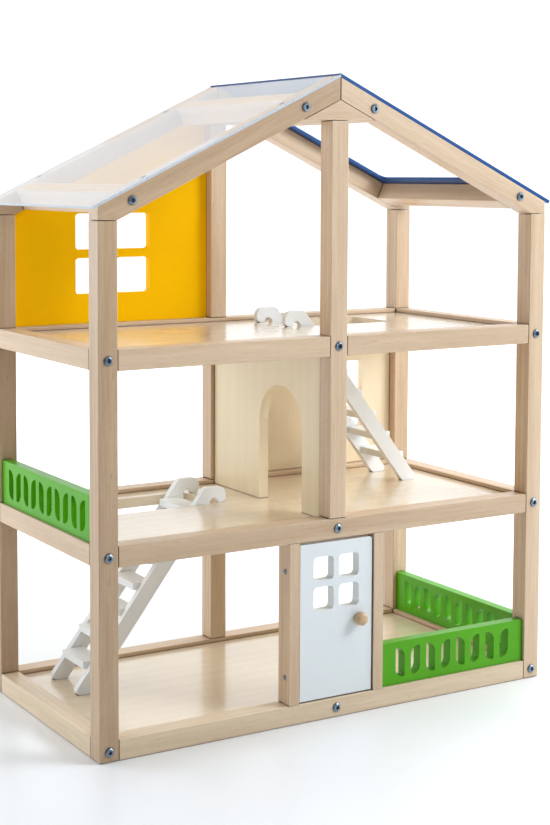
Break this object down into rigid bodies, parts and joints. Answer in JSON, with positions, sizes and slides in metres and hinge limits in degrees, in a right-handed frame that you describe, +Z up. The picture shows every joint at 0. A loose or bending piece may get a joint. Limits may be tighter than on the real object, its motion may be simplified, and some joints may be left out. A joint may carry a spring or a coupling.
{
  "type": "wooden dollhouse",
  "caption": "Open-sided wooden dollhouse: bolted square-timber frame, three floors, hinged front door, lift-off stairs, leaf-slotted railings, one clear and one cut-out roof slope.",
  "frame": {"origin": "bottom centre of the whole house's box, on the ground", "axes": "+X to the right along the front, +Y from the front to the back, +Z up"},
  "size_m": [0.5976, 0.293, 0.7086],
  "materials": {
    "post_wood": "clear satin lacquer",
    "rail_wood": "clear satin lacquer",
    "roof_wood": "clear satin lacquer",
    "jamb_wood": "clear satin lacquer",
    "floor_ply": "clear gloss lacquer",
    "wall_ply": "clear satin lacquer",
    "orange_paint": "gloss paint",
    "green_paint": "satin paint",
    "blue_paint": "satin paint",
    "white_paint": "satin paint",
    "knob_wood": "clear satin lacquer",
    "dowel_wood": "raw",
    "clear_plastic": "frosted gloss sheet",
    "bolt_steel": "zinc plated",
    "hinge_steel": "zinc plated"
  },
  "bodies": {
    "house": {"front_left_post": "post_wood", "front_right_post": "post_wood", "front_centre_post": "post_wood", "rear_left_post": "post_wood", "rear_right_post": "post_wood", "rear_ground_post": "post_wood", "rear_first_post": "post_wood", "rear_attic_post": "post_wood", "base_front_rail": "rail_wood", "base_rear_rail": "rail_wood", "base_left_rail": "rail_wood", "base_right_rail": "rail_wood", "ground_floor": "floor_ply", "first_front_rail": "rail_wood", "first_rear_rail": "rail_wood", "first_left_rail": "rail_wood", "first_right_rail": "rail_wood", "first_floor": "floor_ply", "attic_front_rail_left": "rail_wood", "attic_front_rail_right": "rail_wood", "attic_rear_rail": "rail_wood", "attic_left_rail": "rail_wood", "attic_right_rail": "rail_wood", "attic_floor": "floor_ply", "front_left_rafter": "roof_wood", "front_right_rafter": "roof_wood", "rear_left_rafter": "roof_wood", "rear_right_rafter": "roof_wood", "front_gusset": "roof_wood", "rear_gusset": "roof_wood", "left_eave_beam": "roof_wood", "right_eave_beam": "roof_wood", "left_ridge_beam": "roof_wood", "right_ridge_beam": "roof_wood", "clear_roof_sheet": "clear_plastic", "blue_roof_board": "blue_paint", "orange_wall": "orange_paint", "first_back_wall": "wall_ply", "arch_wall": "wall_ply", "left_jamb": "jamb_wood", "right_jamb": "jamb_wood", "jamb_hinge_leaves": "hinge_steel", "hinge_pins": "hinge_steel", "jamb_screws": "bolt_steel", "balcony_railing": "green_paint", "porch_front_railing": "green_paint", "porch_side_railing": "green_paint", "frame_bolts": "bolt_steel", "barrel_nuts": "bolt_steel", "roof_screws": "bolt_steel", "dowels": "dowel_wood"},
    "door": {"door_panel": "white_paint", "door_hinge_leaves": "hinge_steel", "door_knob": "knob_wood"},
    "left_stair": {"left_stair_front_side": "white_paint", "left_stair_back_side": "white_paint", "left_stair_treads": "white_paint"},
    "right_stair": {"right_stair_front_side": "white_paint", "right_stair_back_side": "white_paint", "right_stair_treads": "white_paint"}
  },
  "joints": [
    {"name": "door_hinge", "type": "hinge", "parent": "house", "child": "door", "pos_m": [-0.0479, -0.1198, 0.11], "axis": [0, 0, 1], "range_deg": [0, 100]},
    {"name": "left_stair_lift", "type": "slide", "parent": "house", "child": "left_stair", "axis": [0, 0, 1], "range_m": [0, 0.03]},
    {"name": "right_stair_lift", "type": "slide", "parent": "house", "child": "right_stair", "axis": [0, 0, 1], "range_m": [0, 0.03]}
  ]
}
